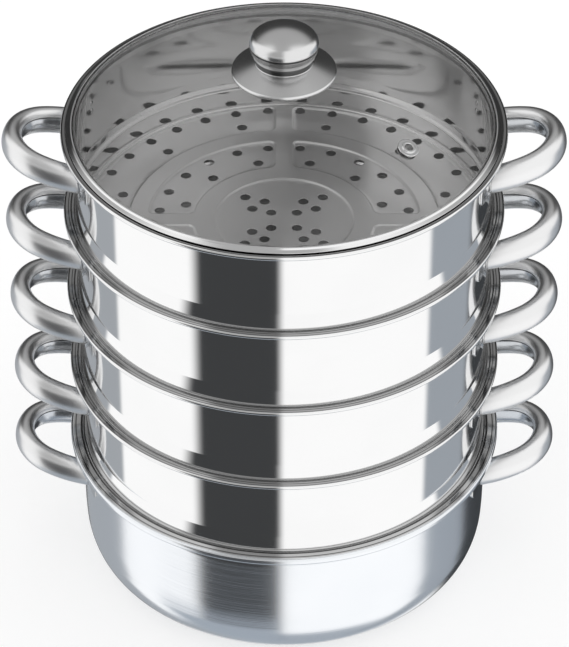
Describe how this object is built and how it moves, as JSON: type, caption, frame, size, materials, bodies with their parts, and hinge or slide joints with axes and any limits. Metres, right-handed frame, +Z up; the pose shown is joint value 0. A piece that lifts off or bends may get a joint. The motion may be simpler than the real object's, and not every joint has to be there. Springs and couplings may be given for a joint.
{
  "type": "steamer pot",
  "caption": "Tall stacking steamer: a base pot under perforated baskets, each with two loop handles, closed by a domed glass lid with a metal knob and a vent.",
  "frame": {"origin": "centre of the base pot's flat bottom, on the table", "axes": "+Z up through the stack, X through the two columns of handles, -Y towards the front"},
  "size_m": [0.3848, 0.3044, 0.4365],
  "materials": {
    "brushed_pot_steel": "fine horizontal brushing, soft sheen",
    "polished_basket_steel": "mirror-polished wall and rim, satin perforated floor",
    "polished_handle_steel": "polished",
    "handle_liner_steel": "semi-polished",
    "foot_plate_steel": "polished",
    "lid_glass": "clear, glossy",
    "lid_band_steel": "polished",
    "satin_knob_steel": "fine satin",
    "small_fittings_steel": "semi-polished"
  },
  "bodies": {
    "pot": {"base_pot": "brushed_pot_steel", "base_pot_left_handle_feet": "foot_plate_steel", "base_pot_left_handle_liner": "handle_liner_steel", "base_pot_left_handle_shell": "polished_handle_steel", "base_pot_left_weld_spots": "foot_plate_steel", "base_pot_right_handle_feet": "foot_plate_steel", "base_pot_right_handle_liner": "handle_liner_steel", "base_pot_right_handle_shell": "polished_handle_steel", "base_pot_right_weld_spots": "foot_plate_steel"},
    "steamer_1": {"steamer_1": "polished_basket_steel", "steamer_1_left_handle_feet": "foot_plate_steel", "steamer_1_left_handle_liner": "handle_liner_steel", "steamer_1_left_handle_shell": "polished_handle_steel", "steamer_1_left_weld_spots": "foot_plate_steel", "steamer_1_right_handle_feet": "foot_plate_steel", "steamer_1_right_handle_liner": "handle_liner_steel", "steamer_1_right_handle_shell": "polished_handle_steel", "steamer_1_right_weld_spots": "foot_plate_steel"},
    "steamer_2": {"steamer_2": "polished_basket_steel", "steamer_2_left_handle_feet": "foot_plate_steel", "steamer_2_left_handle_liner": "handle_liner_steel", "steamer_2_left_handle_shell": "polished_handle_steel", "steamer_2_left_weld_spots": "foot_plate_steel", "steamer_2_right_handle_feet": "foot_plate_steel", "steamer_2_right_handle_liner": "handle_liner_steel", "steamer_2_right_handle_shell": "polished_handle_steel", "steamer_2_right_weld_spots": "foot_plate_steel"},
    "steamer_3": {"steamer_3": "polished_basket_steel", "steamer_3_left_handle_feet": "foot_plate_steel", "steamer_3_left_handle_liner": "handle_liner_steel", "steamer_3_left_handle_shell": "polished_handle_steel", "steamer_3_left_weld_spots": "foot_plate_steel", "steamer_3_right_handle_feet": "foot_plate_steel", "steamer_3_right_handle_liner": "handle_liner_steel", "steamer_3_right_handle_shell": "polished_handle_steel", "steamer_3_right_weld_spots": "foot_plate_steel"},
    "steamer_4": {"steamer_4": "polished_basket_steel", "steamer_4_left_handle_feet": "foot_plate_steel", "steamer_4_left_handle_liner": "handle_liner_steel", "steamer_4_left_handle_shell": "polished_handle_steel", "steamer_4_left_weld_spots": "foot_plate_steel", "steamer_4_right_handle_feet": "foot_plate_steel", "steamer_4_right_handle_liner": "handle_liner_steel", "steamer_4_right_handle_shell": "polished_handle_steel", "steamer_4_right_weld_spots": "foot_plate_steel"},
    "lid": {"lid_band": "lid_band_steel", "lid_glass": "lid_glass", "lid_knob_base": "satin_knob_steel", "lid_knob_cap": "satin_knob_steel", "lid_knob_cup": "satin_knob_steel", "lid_knob_screw": "small_fittings_steel", "lid_knob_washer": "small_fittings_steel", "lid_vent_back_ring": "small_fittings_steel", "lid_vent_eyelet": "small_fittings_steel"}
  },
  "joints": [
    {"name": "steamer_1_lift", "type": "slide", "parent": "pot", "child": "steamer_1", "axis": [0, 0, 1], "range_m": [0, 0.1]},
    {"name": "steamer_2_lift", "type": "slide", "parent": "steamer_1", "child": "steamer_2", "axis": [0, 0, 1], "range_m": [0, 0.1]},
    {"name": "steamer_3_lift", "type": "slide", "parent": "steamer_2", "child": "steamer_3", "axis": [0, 0, 1], "range_m": [0, 0.1]},
    {"name": "steamer_4_lift", "type": "slide", "parent": "steamer_3", "child": "steamer_4", "axis": [0, 0, 1], "range_m": [0, 0.1]},
    {"name": "lid_lift", "type": "slide", "parent": "steamer_4", "child": "lid", "axis": [0, 0, 1], "range_m": [0, 0.12]}
  ]
}
